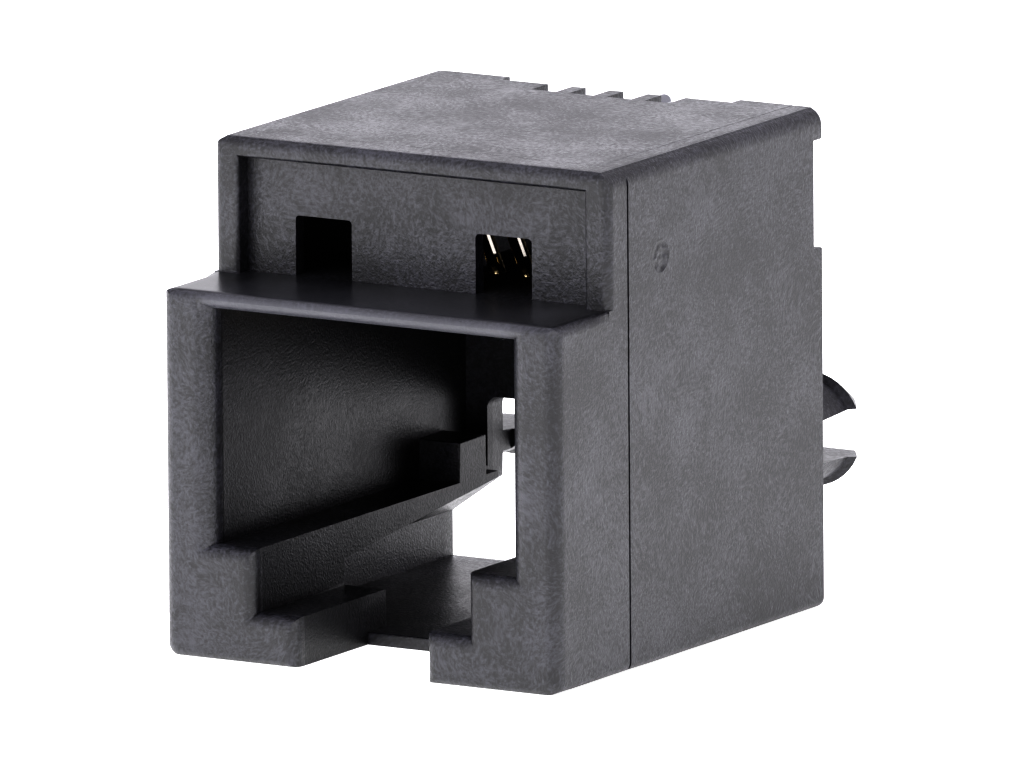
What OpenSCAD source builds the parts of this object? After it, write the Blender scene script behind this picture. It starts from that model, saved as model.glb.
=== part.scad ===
// Modular jack for a printed circuit board: one moulded housing and four spring contacts.
// X runs across the plug, Y from the plug face towards the board, Z from the latch side up.
// The origin is the centre of the housing's latch side, on which the loose jack lies.

/* [Housing] */
// Width across the side walls
body_w = 13.2; // [13:0.05:13.8]
// Depth from the plug face to the board seating plane
body_d = 15.08; // [14.8:0.02:16.8]
// Height from the latch side to the contact side
body_h = 14.7; // [14.5:0.05:15.6]
// Rounding of the two long edges on the contact side
top_r = 0.5; // [0.2:0.05:0.6]
// Rounding of the two long edges on the latch side
base_r = 0.15; // [0.1:0.05:0.45]

/* [Plug frame] */
// How far the plug frame stands in front of the upper face
frame_d = 3; // [2:0.1:3.6]
// Height of the ledge on top of the plug frame
ledge_z = 10.72; // [10.6:0.02:10.9]
// Thickness of the plate between the plug cavity and the contact chamber
plate_t = 0.5; // [0.45:0.01:0.6]
// Rounding of the frame's front upright edges
frame_r = 0.45; // [0.2:0.05:0.6]
// Rounding of the ledge's two ends
ledge_r = 0.35; // [0.15:0.05:0.5]
// Rounding of the ledge's front edge
nose_r = 0.3; // [0.1:0.02:0.4]
// Rounding of the front edge on the latch side
toe_r = 0.18; // [0.1:0.02:0.4]

/* [Plug opening] */
// Width of the plug cavity
plug_w = 9.84; // [9.78:0.02:10]
// Height of the shelves that carry the plug
shelf_z = 3.32; // [3.2:0.02:3.6]
// Width of the keyway between the shelves
key_w = 7.1; // [6.4:0.05:7.4]
// Height of the keyway's floor
key_z = 1.45; // [1.2:0.05:1.7]
// Width of the slot for the plug's latch
latch_w = 4.3; // [3.8:0.05:4.8]
// Length of the latch slot through the latch side
latch_l = 4; // [3.4:0.1:4.4]
// Depth of the lips that the latch hooks behind
lip_d = 5.05; // [4.6:0.05:5.6]
// Rounded lead-in above and below the plug and beside the keyway
lead_r = 0.4; // [0.2:0.02:0.44]
// Rounded lead-in at the plug's two sides
flare_r = 0.7; // [0.3:0.02:0.8]

/* [Latch cavity] */
// Thickness of the floor on the latch side
floor_t = 0.37; // [0.3:0.01:0.6]
// Thickness of the side walls beside the latch cavity
skirt_t = 0.7; // [0.5:0.05:0.9]
// Height of the upright part of those walls
skirt_z = 1.7; // [1.4:0.05:1.9]
// Thickness of the shelves at the lips
shelf_t = 1.1; // [0.9:0.05:1.3]
// Rise of the shelves' underside towards the board
shelf_rise = 6; // [4:0.5:7]

/* [Board wall] */
// Thickness of the wall against the board
back_t = 0.87; // [0.8:0.01:1.2]
// Width of the opening in that wall
port_w = 8.4; // [7.8:0.1:9]
// Height of the opening's top edge
port_z = 5.38; // [4.8:0.02:5.8]
// Height at which the opening widens towards the latch side
port_step_z = 2.9; // [2.6:0.05:3.1]
// Corner radius at the opening's top
port_r = 0.35; // [0.1:0.05:0.6]
// Gap between the board wall and the plug stops
stop_gap = 1.17; // [0.9:0.01:1.6]
// Length of the plug stops
stop_l = 1.49; // [1:0.01:2]
// Height of the plug stops
stop_z = 4.5; // [4:0.05:5]

/* [Upper face] */
// Depth of the recess in the upper face
recess_d = 0.54; // [0.3:0.02:0.8]
// Width of the cheeks beside the recess
cheek_w = 0.82; // [0.6:0.02:1]
// Height of the band above the recess
brow_h = 0.58; // [0.4:0.02:0.7]
// Rounding of the brow's and the cheeks' outer edges
brow_r = 0.3; // [0.1:0.02:0.36]
// Thickness of the wall behind the recess
face_t = 0.45; // [0.4:0.05:0.8]
// Width of each inspection window
window_w = 1.88; // [1.4:0.02:2.2]
// Height of each inspection window above the ledge
window_h = 1.76; // [1.4:0.01:2.2]
// Distance between the windows' centres
window_pitch = 6.02; // [5.4:0.02:6.4]
// Offset of the pair of windows to the left
window_shift = 0.23; // [0:0.01:0.4]

/* [Contacts] */
// Diameter of the contact wire
wire_d = 0.46; // [0.4:0.01:0.5]
// Distance between contacts where they touch the plug
contact_pitch = 1.02; // [1:0.01:1.1]
// Distance between tails across both rows
tail_pitch = 1.27; // [1.2:0.01:1.4]
// Distance between the two rows of tails
row_gap = 2.54; // [2.3:0.01:2.7]
// Distance from the pegs' axes to the nearer row of tails
peg_to_row = 6.35; // [6.1:0.01:6.5]
// Length of the tails past the board seating plane
tail_l = 3.3; // [2.5:0.1:4]
// Depth at which the contacts pass the plate
dive_y = 7; // [6.8:0.05:7.5]
// Angle of the contacts where they pass the plate
dive_angle = 59; // [52:1:66]
// How far below the ledge the contacts bend towards the board
knee_drop = 1; // [0.9:0.02:1.1]
// Slope of the contacts' free ends
wipe_angle = 18; // [12:1:19]
// Distance from the free ends to the board wall
end_gap = 2; // [1.6:0.05:2.4]
// Radius of the bend behind the upper face
front_bend_r = 0.7; // [0.5:0.02:0.9]
// Radius of the bends at the knee and at the tails
bend_r = 0.45; // [0.35:0.01:0.5]

/* [Contact seats] */
// Depth of the terminal block that holds the contacts
block_t = 2.48; // [2.2:0.02:3]
// Room round a wire in its hole
wire_gap = 0.03; // [0.02:0.01:0.05]
// Width of the comb slots that keep the contacts apart
comb_slot_w = 0.62; // [0.56:0.01:0.7]
// Length of the comb slots in the plate
comb_slot_l = 1.1; // [0.9:0.05:1.3]
// Depth of the solder relief on the board side
relief_d = 0.43; // [0.3:0.01:0.6]
// Height at which the solder relief starts
relief_z = 10.62; // [10.3:0.02:10.7]
// Height of the solder relief itself
relief_h = 3.17; // [3.1:0.01:3.5]
// Width between the two feet on the contact side
comb_w = 7.7; // [6.4:0.1:9]
// Width of the tail grooves
groove_w = 0.8; // [0.66:0.02:0.9]
// Depth of the tail grooves
groove_d = 0.95; // [0.8:0.01:1.1]

/* [Pegs] */
// Distance between the two board pegs
peg_pitch = 10.16; // [9.8:0.02:10.16]
// Height of the pegs' axes above the latch side
peg_z = 4.82; // [4.6:0.02:4.9]
// Diameter of the pegs in the board
peg_d = 3; // [2.8:0.02:3.1]
// Diameter of the barbs behind the board
barb_d = 3.38; // [3.2:0.02:3.5]
// Length of the pegs
peg_l = 3; // [2.8:0.02:3.3]
// Board thickness that the pegs grip
grip_l = 1.73; // [1.6:0.01:1.85]
// Diameter of the pegs' tips
tip_d = 2.24; // [2:0.02:2.5]
// Width of the split at the board wall
split_root = 1.22; // [0.8:0.02:1.24]
// Width of the split at the tips
split_tip = 1.52; // [1.26:0.02:1.6]

/* [Mould marks] */
// Depth of the mould's parting line from the plug face
parting_y = 4.08; // [3.9:0.02:4.6]
// Width of the parting line
parting_w = 0.09; // [0.06:0.01:0.14]
// Depth of the parting line
parting_d = 0.05; // [0.03:0.01:0.08]
// Distance of the witness line on the contact side from the middle
witness_x = 5.63; // [5.2:0.01:5.9]
// Diameter of the gate mark
gate_d = 0.95; // [0.6:0.05:1.3]
// Depth of the gate mark
gate_depth = 0.06; // [0.03:0.01:0.12]
// Gate mark's distance from the plug face
gate_y = 5.9; // [5.2:0.05:8]
// Gate mark's height above the latch side
gate_z = 11.85; // [11:0.05:13]

/* [Hidden] */
contact_count = 4;
wire_r = wire_d / 2;
past = 0.5;              // how far a cut runs past the face it opens
root = 0.4;              // how deep one feature is rooted in another
blend = 0.01;            // how far the rounded wire ends stand proud
ceiling_z = ledge_z - plate_t;
back_y = body_d - back_t;
block_y = body_d - block_t;
face_y = frame_d + recess_d;
chamber_y = face_y + face_t;
stop_y = back_y - stop_gap - stop_l;
low_row_z = peg_z + peg_to_row;
high_row_z = low_row_z + row_gap;
chamber_z = high_row_z + wire_r + 4 * wire_gap;
relief_y = body_d - relief_d;
groove_y = relief_y - groove_d;
drop_y = groove_y + bend_r + wire_gap;
skirt_x = body_w / 2 - skirt_t;
dive_run = 1 / tan(dive_angle);
knee_y = dive_y + knee_drop * dive_run;
knee_z = ledge_z - knee_drop;
knee_turn = dive_angle - wipe_angle;
knee_cut = bend_r * tan(knee_turn / 2);
knee_from_y = knee_y - knee_cut * cos(dive_angle);
knee_from_z = knee_z + knee_cut * sin(dive_angle);
bend_end_z = high_row_z - front_bend_r * (1 + cos(dive_angle));
bend_end_y = dive_y - (bend_end_z - ledge_z) * dive_run;
bend_y = bend_end_y + front_bend_r * sin(dive_angle);
end_y = back_y - end_gap;
end_z = knee_z - (end_y - knee_y) * tan(wipe_angle);
comb_y = dive_y + comb_slot_l - wire_d;
fan_y = block_y - root;

function contact_x(i) = (i - (contact_count - 1) / 2) * contact_pitch;
function tail_x(i) = (i - (contact_count - 1) / 2) * tail_pitch;
function tail_z(i) = i % 2 == 0 ? low_row_z : high_row_z;

// Depths are measured from the plug face; this puts that face in front of the origin.
module in_frame() {
    translate([0, -body_d / 2, 0]) children();
}

// An outline in X and Z, carried from depth y0 to depth y1.
module along_y(y0, y1) {
    translate([0, y1, 0]) rotate([90, 0, 0]) linear_extrude(y1 - y0) children();
}

// An outline in Y and Z, carried across the width w.
module along_x(w) {
    rotate([90, 0, 90]) linear_extrude(w, center = true) children();
}

// A rectangle between two heights, centred across.
module span(w, z0, z1) {
    translate([-w / 2, z0]) square([w, z1 - z0]);
}

// What a rounded corner of radius r loses, at a corner that points to the lower left.
module corner_loss(r) {
    difference() {
        translate([-past, -past]) square(r + past);
        translate([r, r]) circle(r, $fn = 48);
    }
}

// The same loss on both sides of a width w, at height z, pointing down or up.
module corner_losses(w, z, r, up) {
    for (side = [0, 1]) {
        mirror([side, 0]) translate([-w / 2, z]) mirror([0, up ? 1 : 0]) corner_loss(r);
    }
}

// A mouth of width w between two heights, which opens in a rounded lead-in on the plug face.
module mouth(w, z0, z1, depth, side_r, flare_low, flare_high) {
    intersection() {
        linear_extrude(body_h) {
            translate([-w / 2, -past]) square([w, depth + past]);
            lead_in(w / 2, side_r);
            mirror([1, 0]) lead_in(w / 2, side_r);
        }
        along_x(body_w) {
            translate([-past, z0]) square([depth + past, z1 - z0]);
            if (flare_low) lead_in_side(z0, 1);
            if (flare_high) lead_in_side(z1, 0);
        }
    }
}

// Lead-in of radius r beside the mouth, in plan, at half width x.
module lead_in(x, r) {
    difference() {
        translate([x - root, -past]) square([r + root, r + past]);
        translate([x + r, r]) circle(r, $fn = 48);
    }
}

// Lead-in above or below the mouth, seen from the side.
module lead_in_side(z, low) {
    translate([0, z]) mirror([0, low]) difference() {
        translate([-past, -root]) square([lead_r + past, lead_r + root]);
        translate([lead_r, lead_r]) circle(lead_r, $fn = 48);
    }
}

// Outside of the moulding: the stepped side view, with its edges rounded.
module body() {
    difference() {
        along_x(body_w) side_view();
        along_y(-past, frame_d) corner_losses(body_w, ledge_z, ledge_r, true);
        along_y(-past, body_d + past) corner_losses(body_w, 0, base_r, false);
        along_y(frame_d - past, body_d + past) corner_losses(body_w, body_h, top_r, true);
        translate([0, 0, -past]) linear_extrude(ledge_z + 2 * past) corner_losses(body_w, 0, frame_r, false);
        translate([0, 0, ledge_z]) linear_extrude(body_h) corner_losses(body_w, frame_d, brow_r, false);
    }
}

// Side view: the plug frame in front, the full height behind it.
module side_view() {
    difference() {
        square([body_d, ledge_z]);
        corner_loss(toe_r);
        translate([0, ledge_z]) mirror([0, 1]) corner_loss(nose_r);
    }
    difference() {
        translate([frame_d, 0]) square([body_d - frame_d, body_h]);
        translate([frame_d, body_h]) mirror([0, 1]) corner_loss(brow_r);
    }
}

// Space for the plug: cavity, keyway and latch slot, with the plug stops left standing.
module plug_space() {
    difference() {
        union() {
            mouth(plug_w, shelf_z, ceiling_z, back_y, flare_r, true, true);
            mouth(key_w, key_z, ceiling_z, back_y, lead_r, true, false);
        }
        for (side = [0, 1]) mirror([side, 0, 0]) plug_stop();
    }
    mouth_slot();
    translate([-latch_w / 2, latch_l - root, floor_t])
        cube([latch_w, lip_d - latch_l + 2 * root, shelf_z - floor_t]);
}

// Latch slot, open through the latch side.
module mouth_slot() {
    translate([0, 0, -past]) linear_extrude(shelf_z + past) {
        translate([-latch_w / 2, -past]) square([latch_w, latch_l + past]);
        lead_in(latch_w / 2, lead_r);
        mirror([1, 0]) lead_in(latch_w / 2, lead_r);
    }
}

// Stop on one shelf, against which the plug's nose comes to rest.
module plug_stop() {
    translate([key_w / 2, stop_y, shelf_z - root]) cube([plug_w, stop_l, stop_z - shelf_z + root]);
}

// Space behind the lips, where the latch springs down: it narrows upwards and opens to the board.
module latch_space() {
    intersection() {
        along_y(lip_d, body_d + past) polygon([
            [-skirt_x, floor_t], [skirt_x, floor_t], [skirt_x, skirt_z], [port_w / 2, port_step_z],
            [port_w / 2, body_h], [-port_w / 2, body_h], [-port_w / 2, port_step_z], [-skirt_x, skirt_z]
        ]);
        along_x(body_w) {
            run = body_d + past - lip_d;
            top_z = shelf_z - shelf_t;
            polygon([
                [lip_d, floor_t], [lip_d + run, floor_t],
                [lip_d + run, top_z + run * tan(shelf_rise)], [lip_d, top_z]
            ]);
        }
    }
}

// Opening in the board wall above the latch space.
module port() {
    along_y(back_y - past, body_d + past) difference() {
        span(port_w, skirt_z, port_z);
        corner_losses(port_w, port_z, port_r, true);
    }
}

// Chamber above the plate, in which the contacts turn, and the gap behind the plate's comb.
module contact_chamber() {
    translate([-plug_w / 2, chamber_y, ledge_z]) cube([plug_w, block_y - chamber_y, chamber_z - ledge_z]);
    translate([-plug_w / 2, comb_y, ceiling_z - root]) cube([plug_w, block_y - comb_y, plate_t + 2 * root]);
    for (i = [0 : contact_count - 1]) {
        translate([contact_x(i) - comb_slot_w / 2, comb_y - comb_slot_l, ceiling_z - root])
            cube([comb_slot_w, comb_slot_l + root, plate_t + 2 * root]);
    }
}

// Recessed upper face and the two inspection windows through it.
module upper_face() {
    recess_w = body_w - 2 * cheek_w;
    along_y(frame_d - past, face_y) span(recess_w, ledge_z, body_h - brow_h);
    for (side = [-1, 1]) {
        translate([side * window_pitch / 2 - window_shift, 0, 0])
            along_y(frame_d, chamber_y + past) span(window_w, ledge_z, ledge_z + window_h);
    }
}

// Board side: solder relief, gap between the feet, and a groove and hole for each tail.
module board_side() {
    along_y(relief_y, body_d + past) {
        span(body_w + past, relief_z, relief_z + relief_h);
        span(comb_w, high_row_z, body_h + past);
    }
    for (i = [0 : contact_count - 1]) {
        translate([tail_x(i), 0, 0]) {
            along_y(groove_y, body_d) span(groove_w, tail_z(i) - groove_w / 2, body_h + past);
            translate([0, block_y - past, high_row_z]) rotate([-90, 0, 0])
                cylinder(r = wire_r + wire_gap, h = groove_y - block_y + 2 * past, $fn = 32);
        }
    }
}

// Ribs under the terminal block, which keep the contacts' free ends apart.
module comb_ribs() {
    rib_w = contact_pitch - comb_slot_w;
    rib_y = end_y - comb_slot_l;
    for (i = [0 : contact_count]) {
        translate([(i - contact_count / 2) * contact_pitch - rib_w / 2, rib_y, end_z - wire_d])
            cube([rib_w, back_y + root - rib_y, ceiling_z - end_z + wire_d]);
        translate([(i - contact_count / 2) * contact_pitch - rib_w / 2, block_y, ceiling_z - root])
            cube([rib_w, block_t / 2, 2 * root]);
    }
}

// Split peg with a barb, which snaps into a hole in the board.
module peg() {
    barb_y = grip_l + (barb_d - peg_d) / 2;
    intersection() {
        translate([peg_pitch / 2, body_d, peg_z]) rotate([-90, 0, 0]) rotate_extrude($fn = 64)
            polygon([
                [0, -root], [peg_d / 2, -root], [peg_d / 2, grip_l], [barb_d / 2, barb_y],
                [tip_d / 2, peg_l], [0, peg_l]
            ]);
        translate([-body_w / 2, body_d - 2 * root, 0]) cube([body_w, peg_l + 3 * root, body_h]);
    }
}

// Split through a peg from the board wall, widening towards its tip.
module peg_split() {
    tip_y = body_d + peg_l;
    translate([peg_pitch / 2, 0, peg_z]) along_x(2 * barb_d) polygon([
        [body_d, -split_root / 2], [tip_y, -split_tip / 2], [tip_y + past, -split_tip / 2],
        [tip_y + past, split_tip / 2], [tip_y, split_tip / 2], [body_d, split_root / 2]
    ]);
}

// Parting line on three sides, a witness line on the contact side, and the gate mark.
module mould_marks() {
    for (side = [0, 1]) {
        mirror([side, 0, 0]) translate([body_w / 2 - parting_d, parting_y - parting_w / 2, -past])
            cube([parting_d + past, parting_w, body_h + 2 * past]);
    }
    translate([0, 0, body_h - parting_d / 2]) linear_extrude(past) {
        translate([-body_w / 2, parting_y - parting_w / 2]) square([body_w, parting_w]);
        translate([witness_x, frame_d]) square([parting_w, body_d]);
    }
    translate([body_w / 2 - gate_depth, gate_y, gate_z]) rotate([0, 90, 0])
        cylinder(d = gate_d, h = past, $fn = 32);
}

module housing() {
    color("#2c2c31") in_frame() {
        difference() {
            union() {
                body();
                for (side = [0, 1]) mirror([side, 0, 0]) peg();
            }
            for (side = [0, 1]) mirror([side, 0, 0]) peg_split();
            plug_space();
            latch_space();
            port();
            contact_chamber();
            upper_face();
            board_side();
            mould_marks();
        }
        comb_ribs();
    }
}

// A straight length of wire, with rounded ends that blend into the next length.
module wire(from, to) {
    d = to - from;
    l = norm(d);
    translate(from) rotate([0, acos(d.z / l), atan2(d.y, d.x)]) cylinder(r = wire_r, h = l, $fn = 32);
    for (end = [from, to]) translate(end) sphere(r = wire_r + blend, $fn = 32);
}

// A bend in the Y-Z plane about a centre, from one angle to another, measured from +Y towards +Z.
module wire_bend(x, y, z, r, from, to) {
    translate([x, y, z]) rotate([90, 0, 90]) rotate([0, 0, from])
        rotate_extrude(angle = to - from, $fn = 64) translate([r, 0]) circle(wire_r, $fn = 32);
}

// One contact: tail, run along the contact side, bend behind the face, dive and free end.
module contact(i) {
    x = contact_x(i);
    tx = tail_x(i);
    tip_y = body_d + tail_l;
    low = tail_z(i) < high_row_z;
    color("#c9a24a") in_frame() {
        if (low) {
            wire([tx, tip_y, low_row_z], [tx, drop_y + bend_r, low_row_z]);
            wire_bend(tx, drop_y + bend_r, low_row_z + bend_r, bend_r, 180, 270);
            wire([tx, drop_y, low_row_z + bend_r], [tx, drop_y, high_row_z - bend_r]);
            wire_bend(tx, drop_y - bend_r, high_row_z - bend_r, bend_r, 0, 90);
            wire([tx, drop_y - bend_r, high_row_z], [tx, fan_y, high_row_z]);
        } else {
            wire([tx, tip_y, high_row_z], [tx, fan_y, high_row_z]);
        }
        wire([tx, fan_y, high_row_z], [x, bend_y, high_row_z]);
        wire_bend(x, bend_y, high_row_z - front_bend_r, front_bend_r, 90, 270 - dive_angle);
        wire([x, bend_end_y, bend_end_z], [x, knee_from_y, knee_from_z]);
        wire_bend(x, knee_from_y + bend_r * sin(dive_angle), knee_from_z + bend_r * cos(dive_angle), bend_r,
            270 - dive_angle, 270 - wipe_angle);
        wire([x, knee_y + knee_cut * cos(wipe_angle), knee_z - knee_cut * sin(wipe_angle)],
            [x, end_y, end_z]);
    }
}

housing();
contact(0);  // contact_1
contact(1);  // contact_2
contact(2);  // contact_3
contact(3);  // contact_4
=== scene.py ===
"""Finishes and studio for a board-mount modular jack, laid out as a Blender add-on.

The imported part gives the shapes. The operators here soften the moulding's edges, give the housing its
glass-filled plastic and the contacts their gold and tin, and set up the floor, the light and the camera.
"""

import math

import bmesh
import bpy
from mathutils import Matrix, Vector, noise


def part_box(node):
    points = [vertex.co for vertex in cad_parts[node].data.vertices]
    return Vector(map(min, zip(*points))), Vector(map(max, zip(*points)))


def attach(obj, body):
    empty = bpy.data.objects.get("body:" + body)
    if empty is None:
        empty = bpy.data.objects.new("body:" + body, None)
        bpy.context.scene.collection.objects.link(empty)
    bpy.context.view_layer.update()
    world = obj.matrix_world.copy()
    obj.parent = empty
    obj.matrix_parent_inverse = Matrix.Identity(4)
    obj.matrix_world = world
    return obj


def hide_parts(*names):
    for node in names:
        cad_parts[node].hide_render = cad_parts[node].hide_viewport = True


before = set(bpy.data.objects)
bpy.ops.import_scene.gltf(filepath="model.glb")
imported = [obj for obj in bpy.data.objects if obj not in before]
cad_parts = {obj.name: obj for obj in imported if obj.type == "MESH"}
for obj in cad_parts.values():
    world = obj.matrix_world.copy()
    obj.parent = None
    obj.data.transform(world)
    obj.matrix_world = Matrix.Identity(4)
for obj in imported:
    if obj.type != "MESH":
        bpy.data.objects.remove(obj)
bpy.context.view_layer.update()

bl_info = {
    "name": "Modular Jack",
    "version": (1, 0, 0),
    "blender": (4, 5, 0),
    "location": "View3D > Sidebar > Modular Jack",
    "description": "Finishes the moulding and the contacts of a modular jack and lights them",
    "category": "Object",
}

MM = 0.001
CONTACTS = sorted(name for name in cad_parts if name.startswith("contact_"))

# Outer faces of the housing.
PLUG_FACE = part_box("housing")[0].y
SIDE_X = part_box("housing")[1].x
TOP_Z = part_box("housing")[1].z

# Heights above the latch side.
LEDGE_Z = 10.72 * MM
WINDOW_TOP = 12.48 * MM
CAVITY_TOP = 10.4 * MM
CHAMBER_TOP = 14 * MM
LIP_LOW = 9.9 * MM
# Lowest point of the lip's painted highlight.
LIP_HIGHLIGHT_LOW = 9.8 * MM

# Depths behind the plug face.
FACE_DEPTH = 3 * MM
WALL_DEPTH = 3.6 * MM
LIP_DEPTH = 0.9 * MM
CAVITY_DEPTHS = (0.6 * MM, 14.5 * MM)
CHAMBER_DEPTHS = (3.9 * MM, 12.7 * MM)
CROSS_LINE_DEPTH = 4.2 * MM

# Half widths from the jack's middle.
RECESS_HALF = 5.9 * MM
CAVITY_HALF = 5 * MM
LIP_HALF = 5.2 * MM
LIP_HIGHLIGHT_HALF = 4.9 * MM

# Slack in telling whether a point lies on a face or a line, and how near a cut or a weld takes in a point.
FACE_SLACK = 0.02 * MM
LINE_SLACK = 0.01 * MM
ZONE_SLACK = 0.005 * MM
WELD = 0.002 * MM
CUT_SNAP = 0.0001 * MM
# A normal's share along an axis from which a face counts as facing that way.
FACING = 0.9

# Creases turn by more than this. A crease is rounded where edges are this many widths long and faces as wide.
CREASE = math.radians(35)
ROOM_LENGTH = 7
ROOM_BESIDE = 5
ROOM_FACE = 3.5
RIM_ABOVE_LEDGE = 0.2 * MM
RIM_STEPS = 4
EDGE_STEPS = 3
# Planes, in millimetres, that cut long facets near their ends.
HOLD_X = (2.6, 3.45, 4.0, 4.85, 6.0)
HOLD_DEPTH = (0.5, 3.4, 14.5)
HOLD_Z = (0.3, 1.0, 1.55, 2.85, 3.42, 10.12, 14.1)

# Gate mark on the right-hand side: its middle, its radius, and the rings that its floor is cut into.
GATE = Vector((SIDE_X, PLUG_FACE + 5.9 * MM, 11.85 * MM))
GATE_REACH = 0.475 * MM
GATE_SUNK = (0.03 * MM, 0.1 * MM)
GATE_RINGS = 9
GATE_RING = 0.047 * MM
# Torn floor of the mark: size of its lumps, its depths, the width of its rim, and a deeper pit.
TEAR_MM = 0.15
TEAR_LEAST = 0.004 * MM
TEAR_MOST = 0.08 * MM
TEAR_RIM = 0.1 * MM
PIT = GATE + Vector((0, 0.14 * MM, -0.3 * MM))
PIT_R = 0.2 * MM
PIT_DEPTH = 0.04 * MM

# Rounding of the ledge's ends, where it is cut, and how far it ends towards a square corner.
LEDGE_END_R = 0.35 * MM
EASE_DEPTHS = (2.1, 2.3, 2.5, 2.7, 2.85)
EASE_SHARE = 0.85

# Rounding of the latch side's long edges, here and in the solids, and the cuts that it needs.
FOOT_R = 0.32 * MM
BASE_R = 0.15 * MM
FOOT_CUT = FOOT_R / 7
FOOT_CUTS_UP = 10
FOOT_CUTS_IN = 16
# Roundings of the plug face's upright edges and of its lower edge.
FRAME_R = 0.45 * MM
TOE_R = 0.18 * MM

# Mould lines on the contact side: their depths in the solids, and here across the front and further back.
TOP_LINES_SUNK = (0.015 * MM, 0.04 * MM)
CROSS_LINE = 0.002 * MM
BACK_LINES = 0.006 * MM

# Polish of the faces that the core left, and how far the lip's painted highlight reaches, from its top edge
# down.
CORE_POLISH = 0.25
LIP_HIGHLIGHT_LEAST = 0.15
LIP_HIGHLIGHT_MOST = 0.75
LIP_HIGHLIGHT_FADE = 0.45 * MM
LEDGE_SLACK = 0.03 * MM

# Sockets of the Mix node by number, because its colour and vector sockets share their names.
MIX_SHARE = 0
MIX_VECTORS = (4, 5)
MIX_COLOURS = (6, 7)
MIXED_VECTOR = 1
MIXED_COLOUR = 2

# Light cards: place, width and height in metres, power in watts, and whether glossy faces mirror the card.
CARDS = {
    "back_card": ((-0.18, 0.36, 0.07), (1.1, 0.14), 0.44, True),
    "front_card": ((-0.03, -0.065, 0.1), (0.1, 0.1), 0.21, False),
    "left_card": ((-0.24, -0.36, 0.12), (0.5, 0.3), 0.42, True),
    "right_card": ((0.42, 0.1, 0.08), (0.5, 0.16), 0.2, True),
}
CARD_AIM = Vector((0, 0, 7 * MM))
SKY = (0.98, 0.95, 1.06, 1)
SKY_STRENGTH = 0.7
EXPOSURE = -0.04
SENSOR_MM = 36


def linear(hex_colour):
    """Turns an sRGB hex colour into the linear colour that a shader takes."""
    channels = [int(hex_colour[i : i + 2], 16) / 255 for i in (1, 3, 5)]
    return tuple(c / 12.92 if c <= 0.04045 else ((c + 0.055) / 1.055) ** 2.4 for c in channels)


def add(tree, kind, inputs=None, **settings):
    """Adds a node, sets it up, and links or sets its inputs."""
    made = tree.nodes.new(kind)
    for name, value in settings.items():
        setattr(made, name, value)
    for name, value in (inputs or {}).items():
        if isinstance(value, bpy.types.NodeSocket):
            tree.links.new(value, made.inputs[name])
        else:
            made.inputs[name].default_value = value
    return made


def new_material(name):
    """Makes an empty node material and returns it with its tree."""
    material = bpy.data.materials.new(name)
    material.use_nodes = True
    material.node_tree.nodes.clear()
    return material, material.node_tree


def per_mm(size_mm):
    """Noise scale that gives features of about this size in millimetres."""
    return 1 / (size_mm * MM)


class JackHousing(bpy.types.PropertyGroup):
    """Sizes and colours of the moulding's finish."""

    edge_soft: bpy.props.FloatProperty(
        name="Edge softness",
        description="Width of the softened mould edges",
        default=0.04 * MM,
        min=0,
        unit="LENGTH",
    )
    rim_soft: bpy.props.FloatProperty(
        name="Rim softness",
        description="Rounding of the upper recess's rim and the windows' corners",
        default=0.12 * MM,
        min=0,
        unit="LENGTH",
    )
    dark: bpy.props.FloatVectorProperty(
        name="Resin",
        description="Colour of the resin between the fibres",
        default=linear("#0c0c0e"),
        subtype="COLOR",
    )
    light: bpy.props.FloatVectorProperty(
        name="Fibres",
        description="Colour where fibres lie near the surface",
        default=linear("#2d2d33"),
        subtype="COLOR",
    )
    # Paler colour painted on the lip over the opening: a painted highlight where light falls along its
    # rounded edge.
    lip_highlight: bpy.props.FloatVectorProperty(
        name="Worn lip",
        description="Colour of the lip over the opening, paled by plugs",
        default=linear("#47474d"),
        subtype="COLOR",
    )
    # Darker fibres for the shaded copy of the plastic: painted shade inside the cavity and chamber and on the
    # ledge.
    interior_shade_fibres: bpy.props.FloatVectorProperty(
        name="Core fibres",
        description="Colour of the fibres on the faces that the mould's core left",
        default=linear("#1b1b1e"),
        subtype="COLOR",
    )
    roughness: bpy.props.FloatProperty(
        name="Roughness",
        description="Roughness of the spark-eroded mould faces",
        default=0.44,
        min=0,
        max=1,
        subtype="FACTOR",
    )
    polished: bpy.props.FloatProperty(
        name="Polished",
        description="Roughness of the polished ledge",
        default=0.3,
        min=0,
        max=1,
        subtype="FACTOR",
    )
    relief: bpy.props.FloatProperty(
        name="Relief",
        description="Height of the grain and the fibres in the skin",
        default=0.012 * MM,
        min=0,
        unit="LENGTH",
    )
    shine: bpy.props.FloatProperty(
        name="Shine",
        description="Specular level of the outer faces",
        default=0.5,
        min=0,
        max=1,
        subtype="FACTOR",
    )
    # Lower specular level of the shaded copy: painted shade inside the cavity and chamber and on the ledge.
    interior_shade_shine: bpy.props.FloatProperty(
        name="Core shine",
        description="Specular level of the ledge and of the faces that the mould's core left",
        default=0.29,
        min=0,
        max=1,
        subtype="FACTOR",
    )


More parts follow.
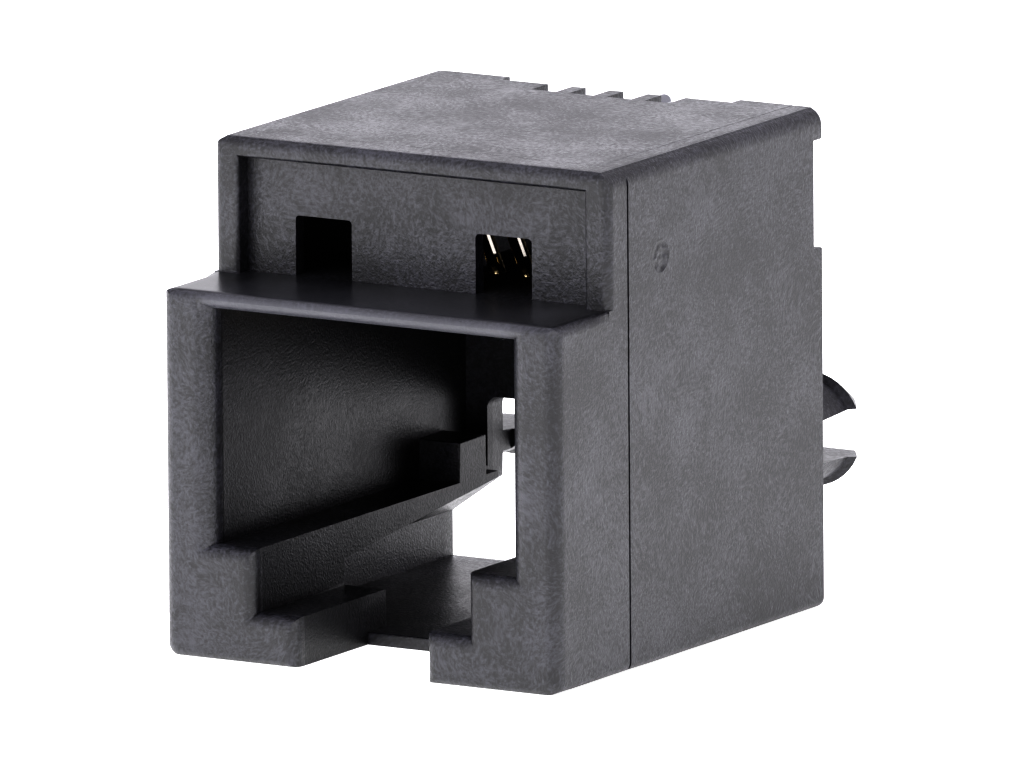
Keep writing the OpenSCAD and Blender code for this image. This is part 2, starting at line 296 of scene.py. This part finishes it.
class JackContacts(bpy.types.PropertyGroup):
    """Colours and plating of the contacts."""

    gold: bpy.props.FloatVectorProperty(
        name="Gold",
        description="Colour of the plated contact end",
        default=linear("#e6cf9f"),
        subtype="COLOR",
    )
    tin: bpy.props.FloatVectorProperty(
        name="Tin",
        description="Colour of the tinned tails",
        default=linear("#9c9da0"),
        subtype="COLOR",
    )
    tin_from: bpy.props.FloatProperty(
        name="Tin from",
        description="Depth at which the tin starts, towards the board",
        default=5.6 * MM,
        unit="LENGTH",
    )
    # Painted highlight on the wires: its paler colour, the side of the wire it lies on, the way its shading
    # normal faces, and the height it starts from.
    flat: bpy.props.FloatVectorProperty(
        name="Flat",
        description="Colour of the flat that the bending tool left",
        default=linear("#dcd6c8"),
        subtype="COLOR",
    )
    glint_side: bpy.props.FloatVectorProperty(
        name="Flat's side",
        description="Side of the round wire on which the flat lies",
        default=(0.866, -0.43, -0.257),
        subtype="DIRECTION",
    )
    flat_faces: bpy.props.FloatVectorProperty(
        name="Flat faces",
        description="Direction that the flat faces",
        default=(0.532, -0.843, 0.079),
        subtype="DIRECTION",
    )
    glint_from: bpy.props.FloatProperty(
        name="Flat from",
        description="Height at which the flat starts",
        default=11.25 * MM,
        unit="LENGTH",
    )


class JackStage(bpy.types.PropertyGroup):
    """Floor and camera."""

    floor: bpy.props.FloatVectorProperty(
        name="Floor",
        description="Colour of the floor",
        default=linear("#f6f6f6"),
        subtype="COLOR",
    )
    floor_size: bpy.props.FloatProperty(
        name="Floor size",
        description="Width of the floor",
        default=1.6,
        unit="LENGTH",
    )
    azimuth: bpy.props.FloatProperty(
        name="Azimuth",
        description="Camera's turn to the right of the plug face",
        default=math.radians(30.9),
        subtype="ANGLE",
    )
    elevation: bpy.props.FloatProperty(
        name="Elevation",
        description="Camera's height as an angle",
        default=math.radians(10.863),
        subtype="ANGLE",
    )
    roll: bpy.props.FloatProperty(
        name="Roll",
        description="Camera's roll",
        default=math.radians(-0.421),
        subtype="ANGLE",
    )
    distance: bpy.props.FloatProperty(
        name="Distance",
        description="Camera's distance from the jack",
        default=0.90215,
        unit="LENGTH",
    )
    lens: bpy.props.FloatProperty(
        name="Lens",
        description="Focal length in millimetres",
        default=1100,
        unit="CAMERA",
    )
    target: bpy.props.FloatVectorProperty(
        name="Target",
        description="Point in the middle of the picture",
        default=(0.2844 * MM, 0.5848 * MM, 7.1739 * MM),
        subtype="TRANSLATION",
    )


def polyester_glass_moulded(name, finish, fleck, shine):
    """Glass-filled polyester, moulded: near black and satin, pale flecks where fibres lie near the skin."""
    material, tree = new_material(name)
    place = add(tree, "ShaderNodeTexCoord").outputs["Object"]
    # Flow swirls about 3 mm across bend the fibre pattern, as the melt did.
    flow = add(tree, "ShaderNodeTexNoise", {"Vector": place, "Scale": per_mm(3.2), "Detail": 2.0})
    bend = add(
        tree,
        "ShaderNodeVectorMath",
        {0: flow.outputs["Color"], 1: (2.2 * MM,) * 3, 2: place},
        operation="MULTIPLY_ADD",
    )
    # Single fibres, 0.01 mm across, are too fine to show, so bundles are drawn along each axis of the mould:
    # 0.1 mm across and twice as long.
    fibres = None
    for stretch in ((0.5, 1, 1), (1, 0.5, 1), (1, 1, 0.5)):
        along = add(tree, "ShaderNodeMapping", {"Vector": bend.outputs[0], "Scale": stretch})
        bundle = add(
            tree,
            "ShaderNodeTexNoise",
            {"Vector": along.outputs["Vector"], "Scale": per_mm(0.1), "Detail": 2.0},
        ).outputs["Fac"]
        if fibres:
            bundle = add(tree, "ShaderNodeMath", {0: fibres, 1: bundle}, operation="MAXIMUM").outputs[0]
        fibres = bundle
    # Clouds about 2.4 mm across, where the melt is richer in fibre.
    clouds = add(tree, "ShaderNodeTexNoise", {"Vector": place, "Scale": per_mm(2.4), "Detail": 2.0})
    rich = add(
        tree, "ShaderNodeMath", {0: clouds.outputs["Fac"], 1: 0.4, 2: fibres}, operation="MULTIPLY_ADD"
    )
    share = add(
        tree, "ShaderNodeMapRange", {"Value": rich.outputs[0], "From Min": 0.69, "From Max": 0.93}
    ).outputs["Result"]
    resin, pale = MIX_COLOURS
    flecked = add(
        tree,
        "ShaderNodeMix",
        {MIX_SHARE: share, resin: (*finish.dark, 1), pale: (*fleck, 1)},
        data_type="RGBA",
    )
    # The lip over the opening is painted paler: a painted highlight for the band of light along its rounded
    # edge.
    lip_highlight = add(tree, "ShaderNodeAttribute", attribute_name="lip_highlight", attribute_type="GEOMETRY")
    colour = add(
        tree,
        "ShaderNodeMix",
        {MIX_SHARE: lip_highlight.outputs["Fac"], resin: flecked.outputs[MIXED_COLOUR], pale: (*finish.lip_highlight, 1)},
        data_type="RGBA",
    )
    # Spark-eroded grain of the mould, about 0.07 mm across. Polished faces hardly show it.
    grain = add(tree, "ShaderNodeTexNoise", {"Vector": place, "Scale": per_mm(0.07), "Detail": 2.0})
    relief = add(tree, "ShaderNodeMath", {0: grain.outputs["Fac"], 1: fibres}, operation="ADD")
    polish = add(
        tree, "ShaderNodeAttribute", attribute_name="polish", attribute_type="GEOMETRY"
    ).outputs["Fac"]
    depth = add(
        tree, "ShaderNodeMapRange", {"Value": polish, "To Min": 1.0, "To Max": 0.12}
    ).outputs["Result"]
    bump = add(
        tree,
        "ShaderNodeBump",
        {"Strength": depth, "Distance": finish.relief, "Height": relief.outputs[0]},
    )
    rough = add(
        tree,
        "ShaderNodeMapRange",
        {"Value": polish, "To Min": finish.roughness, "To Max": finish.polished},
    )
    # Fibres near the skin leave it smoother, the resin between them a little duller.
    smoother = add(tree, "ShaderNodeMath", {0: depth, 1: -0.15}, operation="MULTIPLY")
    varied = add(
        tree,
        "ShaderNodeMath",
        {0: share, 1: smoother.outputs[0], 2: rough.outputs["Result"]},
        operation="MULTIPLY_ADD",
    )
    shader = add(
        tree,
        "ShaderNodeBsdfPrincipled",
        {
            "Base Color": colour.outputs[MIXED_COLOUR],
            "Roughness": varied.outputs[0],
            "IOR": 1.55,
            "Specular IOR Level": shine,
            "Normal": bump.outputs["Normal"],
        },
    )
    add(tree, "ShaderNodeOutputMaterial", {"Surface": shader.outputs["BSDF"]})
    return material


def bronze_gold_tin_drawn(plating):
    """Drawn phosphor bronze, gold plated to the terminal block and tinned beyond it, with fine draw lines."""
    material, tree = new_material("bronze_gold_tin_drawn")
    coords = add(tree, "ShaderNodeTexCoord")
    place = coords.outputs["Object"]
    axes = add(tree, "ShaderNodeSeparateXYZ", {"Vector": place})
    # The tin runs out over 0.3 mm.
    fade = 0.15 * MM
    tinned = add(
        tree,
        "ShaderNodeMapRange",
        {
            "Value": axes.outputs["Y"],
            "From Min": plating.tin_from - fade,
            "From Max": plating.tin_from + fade,
        },
        interpolation_type="SMOOTHSTEP",
    )
    first, second = MIX_COLOURS
    plated = add(
        tree,
        "ShaderNodeMix",
        {MIX_SHARE: tinned.outputs["Result"], first: (*plating.gold, 1), second: (*plating.tin, 1)},
        data_type="RGBA",
    )
    # Draw lines, stretched along the depth. Real ones are too fine to show, so these are 0.06 mm across.
    stretch = add(tree, "ShaderNodeMapping", {"Vector": place, "Scale": (1, 0.15, 1)})
    lines = add(
        tree,
        "ShaderNodeTexNoise",
        {"Vector": stretch.outputs["Vector"], "Scale": per_mm(0.06), "Detail": 2.0},
    ).outputs["Fac"]
    rough = add(tree, "ShaderNodeMapRange", {"Value": lines, "To Min": 0.08, "To Max": 0.2})
    bump = add(tree, "ShaderNodeBump", {"Strength": 0.25, "Distance": 0.002 * MM, "Height": lines})
    # A narrow painted highlight on the upper part of the wires' steep run: a paler colour and a shading
    # normal turned towards the window, which the round wire alone would not give.
    facing = add(
        tree,
        "ShaderNodeVectorMath",
        {0: coords.outputs["Normal"], 1: plating.glint_side},
        operation="DOT_PRODUCT",
    )
    glint_band = add(
        tree,
        "ShaderNodeMapRange",
        {"Value": facing.outputs["Value"], "From Min": 0.965, "From Max": 0.985},
    )
    above = add(
        tree,
        "ShaderNodeMapRange",
        {
            "Value": axes.outputs["Z"],
            "From Min": plating.glint_from - fade / 2,
            "From Max": plating.glint_from + fade / 2,
        },
    )
    on_glint = add(
        tree,
        "ShaderNodeMath",
        {0: glint_band.outputs["Result"], 1: above.outputs["Result"]},
        operation="MULTIPLY",
    ).outputs[0]
    round_way, glint_way = MIX_VECTORS
    facet = add(
        tree,
        "ShaderNodeMix",
        {MIX_SHARE: on_glint, round_way: bump.outputs["Normal"], glint_way: plating.flat_faces},
        data_type="VECTOR",
    )
    # Paler colour of the painted highlight on the wires.
    colour = add(
        tree,
        "ShaderNodeMix",
        {MIX_SHARE: on_glint, first: plated.outputs[MIXED_COLOUR], second: (*plating.flat, 1)},
        data_type="RGBA",
    )
    shader = add(
        tree,
        "ShaderNodeBsdfPrincipled",
        {
            "Base Color": colour.outputs[MIXED_COLOUR],
            "Metallic": 1.0,
            "Roughness": rough.outputs["Result"],
            "Normal": facet.outputs[MIXED_VECTOR],
        },
    )
    add(tree, "ShaderNodeOutputMaterial", {"Surface": shader.outputs["BSDF"]})
    return material


def paper_matt(stage):
    """Matt white paper: plain and without gloss, lifted a little so that it stays white round the jack."""
    material, tree = new_material("paper_matt")
    place = add(tree, "ShaderNodeTexCoord").outputs["Object"]
    # Tooth of the paper, about 1.5 mm across.
    tooth = add(tree, "ShaderNodeTexNoise", {"Vector": place, "Scale": per_mm(1.5), "Detail": 3.0})
    bump = add(
        tree, "ShaderNodeBump", {"Strength": 0.05, "Distance": 0.01 * MM, "Height": tooth.outputs["Fac"]}
    )
    shader = add(
        tree,
        "ShaderNodeBsdfPrincipled",
        {
            "Base Color": (*stage.floor, 1),
            "Roughness": 0.9,
            "Specular IOR Level": 0.1,
            "Emission Color": (*stage.floor, 1),
            "Emission Strength": 0.7,
            "Normal": bump.outputs["Normal"],
        },
    )
    add(tree, "ShaderNodeOutputMaterial", {"Surface": shader.outputs["BSDF"]})
    return material


def merged_copy(node):
    """A bmesh of a CAD node with its loose triangles joined."""
    shape = bmesh.new()
    shape.from_mesh(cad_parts[node].data)
    bmesh.ops.remove_doubles(shape, verts=shape.verts, dist=WELD)
    return shape


def put_piece(shape, name, node, materials):
    """Makes a bmesh an object that stands for a CAD node."""
    mesh = bpy.data.meshes.new(name)
    shape.to_mesh(mesh)
    shape.free()
    piece = bpy.data.objects.new(name, mesh)
    bpy.context.scene.collection.objects.link(piece)
    for material in materials:
        mesh.materials.append(material)
    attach(piece, "root")
    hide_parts(node)
    return piece


def turn(edge):
    """Angle between an edge's two faces."""
    return edge.calc_face_angle() if len(edge.link_faces) == 2 else 0


def on_recess_rim(edge):
    """True for the brow's lower edge and the cheeks' inner edges, in front of the recessed upper face."""
    in_face = all(
        abs(v.co.y - PLUG_FACE - FACE_DEPTH) < FACE_SLACK and abs(v.co.x) < RECESS_HALF for v in edge.verts
    )
    high = max(v.co.z for v in edge.verts) > LEDGE_Z + RIM_ABOVE_LEDGE
    return in_face and high and turn(edge) > CREASE


def in_window_corner(edge):
    """True for the upper corners of the two inspection windows."""
    low, high = sorted(edge.verts, key=lambda v: v.co.y)
    level = abs(low.co.z - high.co.z) < LINE_SLACK and abs(low.co.z - WINDOW_TOP) < FACE_SLACK
    return level and abs(low.co.x - high.co.x) < LINE_SLACK and low.co.y < PLUG_FACE + WALL_DEPTH


def has_room(edge, width):
    """True where a crease and everything that it meets is long and wide enough to be rounded."""
    if turn(edge) <= CREASE or not edge.is_convex or edge.calc_length() < ROOM_LENGTH * width:
        return False
    if any(other.calc_length() < ROOM_BESIDE * width for v in edge.verts for other in v.link_edges):
        return False
    return all(
        face.calc_area() > ROOM_FACE * width * max(side.calc_length() for side in face.edges)
        for face in edge.link_faces
    )


def round_edges(shape, edges, width, steps):
    """Rounds edges of a bmesh."""
    bmesh.ops.bevel(
        shape,
        geom=edges,
        offset=width,
        offset_type="OFFSET",
        affect="EDGES",
        segments=steps,
        profile=0.5,
        material=-1,
        clamp_overlap=False,
        loop_slide=True,
    )


def cut(shape, faces, point, normal):
    """Cuts faces of a bmesh along a plane."""
    faces = list(faces)
    corners = dict.fromkeys(v for face in faces for v in face.verts)
    edges = dict.fromkeys(edge for face in faces for edge in face.edges)
    bmesh.ops.bisect_plane(
        shape, geom=[*corners, *edges, *faces], dist=CUT_SNAP, plane_co=point, plane_no=normal
    )


def tear_gate(shape):
    """Roughens the gate mark's floor, where the sprue broke away, and brings it up to the face."""
    least, most = GATE_SUNK
    floor = [
        face
        for face in shape.faces
        if face.normal.x > FACING and least < (GATE - face.calc_center_median()).length < most
    ]
    for _ in range(GATE_RINGS):
        bmesh.ops.inset_region(shape, faces=floor, thickness=GATE_RING, use_even_offset=True)
    bmesh.ops.poke(shape, faces=floor)
    for v in shape.verts:
        away = (v.co - GATE).yz.length
        if away < GATE_REACH + LINE_SLACK and least < GATE.x - v.co.x < most:
            torn = max(0, min(1, (GATE_REACH - away) / TEAR_RIM))
            rough = 0.5 + 0.5 * noise.noise(v.co * per_mm(TEAR_MM))
            near_pit = max(0, 1 - (v.co - PIT).yz.length / PIT_R)
            v.co.x = GATE.x - TEAR_LEAST - torn * (TEAR_MOST * rough + PIT_DEPTH * near_pit)


def ease_ledge_ends(shape):
    """Runs the rounded ends of the ledge out towards a square corner where they meet the upper body."""
    mid_x, mid_z = SIDE_X - LEDGE_END_R, LEDGE_Z - LEDGE_END_R
    start, end = PLUG_FACE + EASE_DEPTHS[0] * MM, PLUG_FACE + FACE_DEPTH

    def at_end(v):
        beside = abs(v.co.x) > mid_x - ZONE_SLACK and v.co.y < end + WELD
        return beside and mid_z - ZONE_SLACK < v.co.z < LEDGE_Z + ZONE_SLACK

    for depth in EASE_DEPTHS:
        ends = [face for face in shape.faces if all(at_end(v) for v in face.verts)]
        cut(shape, ends, (0, PLUG_FACE + depth * MM, 0), (0, 1, 0))
    for v in shape.verts:
        if at_end(v) and v.co.y > start:
            along = (v.co.y - start) / (end - start)
            eased = along * along * (3 - 2 * along)
            out, up = (abs(v.co.x) - mid_x) / LEDGE_END_R, (v.co.z - mid_z) / LEDGE_END_R
            grow = 1 + (1 / max(out, up) - 1) * EASE_SHARE * eased
            v.co.x = math.copysign(mid_x + out * grow * LEDGE_END_R, v.co.x)
            v.co.z = mid_z + up * grow * LEDGE_END_R


def set_back(depth, radius):
    """How far a rounding of the plug face's edge lies inside the flat face behind it, at a depth."""
    return radius - math.sqrt(radius**2 - (radius - depth) ** 2) if 0 <= depth < radius else 0


def round_foot(shape):
    """Makes the long edges of the latch side rounder, out to the plug face's lower corners."""

    def at_foot(v):
        beside = abs(v.co.x) > SIDE_X - FRAME_R - FOOT_R - LINE_SLACK
        return beside and v.co.z < FOOT_R + TOE_R + LINE_SLACK

    cuts = [((0, 0, FOOT_CUT * step), (0, 0, 1)) for step in range(1, FOOT_CUTS_UP + 1)]
    for step in range(1, FOOT_CUTS_IN + 1):
        cuts += [((side * (SIDE_X - FOOT_CUT * step), 0, 0), (1, 0, 0)) for side in (-1, 1)]
    for point, normal in cuts:
        cut(shape, [face for face in shape.faces if any(at_foot(v) for v in face.verts)], point, normal)
    for v in shape.verts:
        depth = v.co.y - PLUG_FACE
        mid_x = SIDE_X - set_back(depth, FRAME_R) - FOOT_R
        mid_z = set_back(depth, TOE_R) + FOOT_R
        arm = Vector((abs(v.co.x) - mid_x, mid_z - v.co.z))
        if min(arm) > 0:
            # How far the solid reaches along the arm: to its flat faces, or to the rounding that it has.
            ray = arm.normalized()
            reach = FOOT_R / max(ray)
            bend = Vector((SIDE_X - BASE_R - mid_x, mid_z - BASE_R))
            spare = ray.dot(bend) ** 2 - bend.length_squared + BASE_R**2
            hit = ray * (ray.dot(bend) + math.sqrt(max(0, spare)))
            if spare > 0 and hit.x > bend.x and hit.y > bend.y:
                reach = min(reach, hit.length)
            arm *= FOOT_R / reach
            v.co.x = math.copysign(mid_x + arm.x, v.co.x)
            v.co.z = mid_z - arm.y


def close_top_lines(shape):
    """Brings the mould lines on the contact side almost up to the face, as faint as they are on the jack."""
    least, most = TOP_LINES_SUNK
    for v in shape.verts:
        if least < TOP_Z - v.co.z < most:
            v.co.z = TOP_Z - (CROSS_LINE if v.co.y < PLUG_FACE + CROSS_LINE_DEPTH else BACK_LINES)


def hold_shading(shape):
    """Cuts the long facets of the roundings near their ends, so that the shading is true along them."""
    planes = [((x * MM, 0, 0), (1, 0, 0)) for near in HOLD_X for x in (-near, near)]
    planes += [((0, PLUG_FACE + y * MM, 0), (0, 1, 0)) for y in HOLD_DEPTH]
    planes += [((0, 0, z * MM), (0, 0, 1)) for z in HOLD_Z]
    for point, normal in planes:
        cut(shape, shape.faces, point, normal)
    for edge in shape.edges:
        edge.smooth = turn(edge) < CREASE


def mark_finish(shape):
    """Marks the polished places and the lip's painted highlight, and gives the second material, a darker copy
    that paints shade, to what the mould's core left and to the ledge.
    """
    polish = shape.faces.layers.float.new("polish")
    lip_highlight = shape.verts.layers.float.new("lip_highlight")
    # Painted highlight on the lip, strongest at its top edge and fading downwards.
    for v in shape.verts:
        in_front = v.co.y < PLUG_FACE + LIP_DEPTH and abs(v.co.x) < LIP_HIGHLIGHT_HALF
        if in_front and LIP_HIGHLIGHT_LOW < v.co.z < LEDGE_Z + LINE_SLACK:
            v[lip_highlight] = max(0, min(LIP_HIGHLIGHT_MOST, LIP_HIGHLIGHT_LEAST + (LEDGE_Z - v.co.z) / LIP_HIGHLIGHT_FADE))
    for face in shape.faces:
        face.smooth = True
        centre = face.calc_center_median()
        across, depth, height = abs(centre.x), centre.y - PLUG_FACE, centre.z
        on_ledge = abs(height - LEDGE_Z) < LEDGE_SLACK and depth < WALL_DEPTH
        on_lip = across < LIP_HALF and LIP_LOW < height < LEDGE_Z and depth < LIP_DEPTH
        in_cavity = height < CAVITY_TOP and CAVITY_DEPTHS[0] < depth < CAVITY_DEPTHS[1]
        in_chamber = height < CHAMBER_TOP and CHAMBER_DEPTHS[0] < depth < CHAMBER_DEPTHS[1]
        inside = across < CAVITY_HALF and (in_cavity or in_chamber)
        if on_ledge and face.normal.z > FACING:
            face[polish] = 1.0
        elif inside:
            face[polish] = CORE_POLISH
        # Faces inside the cavity and chamber, and the ledge, get the darker copy of the plastic: painted
        # shade.
        core = inside and face.normal.y > -FACING and not on_lip
        face.material_index = 1 if core or on_ledge else 0


class JACK_OT_housing(bpy.types.Operator):
    """Build the housing's visible moulding, with softened edges and its plastic"""

    bl_idname = "jack.housing"
    bl_label = "Housing"

    def execute(self, context):
        finish = context.scene.jack_housing
        shape = merged_copy("housing")
        bmesh.ops.dissolve_limit(
            shape,
            angle_limit=math.radians(0.4),
            verts=shape.verts,
            edges=shape.edges,
            delimit={"NORMAL"},
        )
        for chosen in (on_recess_rim, in_window_corner):
            edges = [edge for edge in shape.edges if chosen(edge)]
            round_edges(shape, edges, finish.rim_soft, RIM_STEPS)
        edges = [edge for edge in shape.edges if has_room(edge, finish.edge_soft)]
        round_edges(shape, edges, finish.edge_soft, EDGE_STEPS)
        ease_ledge_ends(shape)
        tear_gate(shape)
        round_foot(shape)
        close_top_lines(shape)
        hold_shading(shape)
        mark_finish(shape)
        materials = (
            polyester_glass_moulded("polyester_glass_moulded", finish, finish.light, finish.shine),
            # Second material: a darker copy of the plastic that paints shade.
            polyester_glass_moulded(
                "polyester_glass_shaded", finish, finish.interior_shade_fibres, finish.interior_shade_shine
            ),
        )
        piece = put_piece(shape, "housing_moulding", "housing", materials)
        flat = piece.modifiers.new("flat_faces", "WEIGHTED_NORMAL")
        flat.keep_sharp = True
        return {"FINISHED"}


class JACK_OT_contacts(bpy.types.Operator):
    """Build the four spring contacts, plated and smooth"""

    bl_idname = "jack.contacts"
    bl_label = "Contacts"

    def execute(self, context):
        material = bronze_gold_tin_drawn(context.scene.jack_contacts)
        for node in CONTACTS:
            shape = merged_copy(node)
            for face in shape.faces:
                face.smooth = True
            put_piece(shape, node.replace("contact", "contact_wire"), node, (material,))
        return {"FINISHED"}


class JACK_OT_stage(bpy.types.Operator):
    """Lay the floor, place the lights and set the camera"""

    bl_idname = "jack.stage"
    bl_label = "Stage"

    def execute(self, context):
        stage = context.scene.jack_stage
        self.lay_floor(stage)
        self.light(context.scene)
        self.set_camera(context.scene, stage)
        context.scene.view_settings.view_transform = "Standard"
        context.scene.view_settings.look = "High Contrast"
        context.scene.view_settings.exposure = EXPOSURE
        return {"FINISHED"}

    def lay_floor(self, stage):
        shape = bmesh.new()
        bmesh.ops.create_grid(shape, x_segments=8, y_segments=8, size=stage.floor_size / 2)
        mesh = bpy.data.meshes.new("floor")
        shape.to_mesh(mesh)
        shape.free()
        mesh.materials.append(paper_matt(stage))
        floor = bpy.data.objects.new("floor", mesh)
        bpy.context.scene.collection.objects.link(floor)

    def light(self, scene):
        world = bpy.data.worlds.new("studio")
        world.use_nodes = True
        tree = world.node_tree
        tree.nodes.clear()
        soft = add(tree, "ShaderNodeBackground", {"Color": SKY, "Strength": SKY_STRENGTH})
        add(tree, "ShaderNodeOutputWorld", {"Surface": soft.outputs["Background"]})
        scene.world = world
        for name, (spot, (wide, tall), power, mirrored) in CARDS.items():
            card = bpy.data.lights.new(name, "AREA")
            card.shape = "RECTANGLE"
            card.size = wide
            card.size_y = tall
            card.energy = power
            lamp = bpy.data.objects.new(name, card)
            lamp.location = spot
            aim = CARD_AIM - lamp.location
            lamp.rotation_euler = aim.to_track_quat("-Z", "Y").to_euler()
            lamp.visible_camera = False
            lamp.visible_glossy = mirrored
            scene.collection.objects.link(lamp)

    def set_camera(self, scene, stage):
        swing, lift, roll = stage.azimuth, stage.elevation, stage.roll
        level = math.cos(lift)
        back = Vector((math.sin(swing) * level, -math.cos(swing) * level, math.sin(lift)))
        right = (-back).cross(Vector((0, 0, 1))).normalized()
        up = right.cross(-back)
        across = math.cos(roll) * right + math.sin(roll) * up
        upright = math.cos(roll) * up - math.sin(roll) * right
        camera = bpy.data.objects.new("camera", bpy.data.cameras.new("camera"))
        camera.data.lens = stage.lens
        camera.data.sensor_width = SENSOR_MM
        turned = Matrix((across, upright, back)).transposed().to_4x4()
        spot = Vector(stage.target) + back * stage.distance
        camera.matrix_world = Matrix.Translation(spot) @ turned
        scene.collection.objects.link(camera)
        scene.camera = camera


class JACK_PT_panel(bpy.types.Panel):
    """Lists the jack's pieces and its stage"""

    bl_idname = "JACK_PT_panel"
    bl_label = "Modular Jack"
    bl_space_type = "VIEW_3D"
    bl_region_type = "UI"
    bl_category = "Modular Jack"

    def draw(self, context):
        scene = context.scene
        for operator, group in (
            (JACK_OT_housing, scene.jack_housing),
            (JACK_OT_contacts, scene.jack_contacts),
            (JACK_OT_stage, scene.jack_stage),
        ):
            box = self.layout.box()
            box.operator(operator.bl_idname)
            for name in group.bl_rna.properties.keys():
                if name not in ("rna_type", "name"):
                    box.prop(group, name)


CLASSES = (
    JackHousing,
    JackContacts,
    JackStage,
    JACK_OT_housing,
    JACK_OT_contacts,
    JACK_OT_stage,
    JACK_PT_panel,
)


def register():
    for cls in CLASSES:
        bpy.utils.register_class(cls)
    bpy.types.Scene.jack_housing = bpy.props.PointerProperty(type=JackHousing)
    bpy.types.Scene.jack_contacts = bpy.props.PointerProperty(type=JackContacts)
    bpy.types.Scene.jack_stage = bpy.props.PointerProperty(type=JackStage)


def unregister():
    del bpy.types.Scene.jack_stage
    del bpy.types.Scene.jack_contacts
    del bpy.types.Scene.jack_housing
    for cls in reversed(CLASSES):
        bpy.utils.unregister_class(cls)


def main():
    register()
    bpy.ops.jack.stage()
    bpy.ops.jack.housing()
    bpy.ops.jack.contacts()


if __name__ == "__main__":
    main()
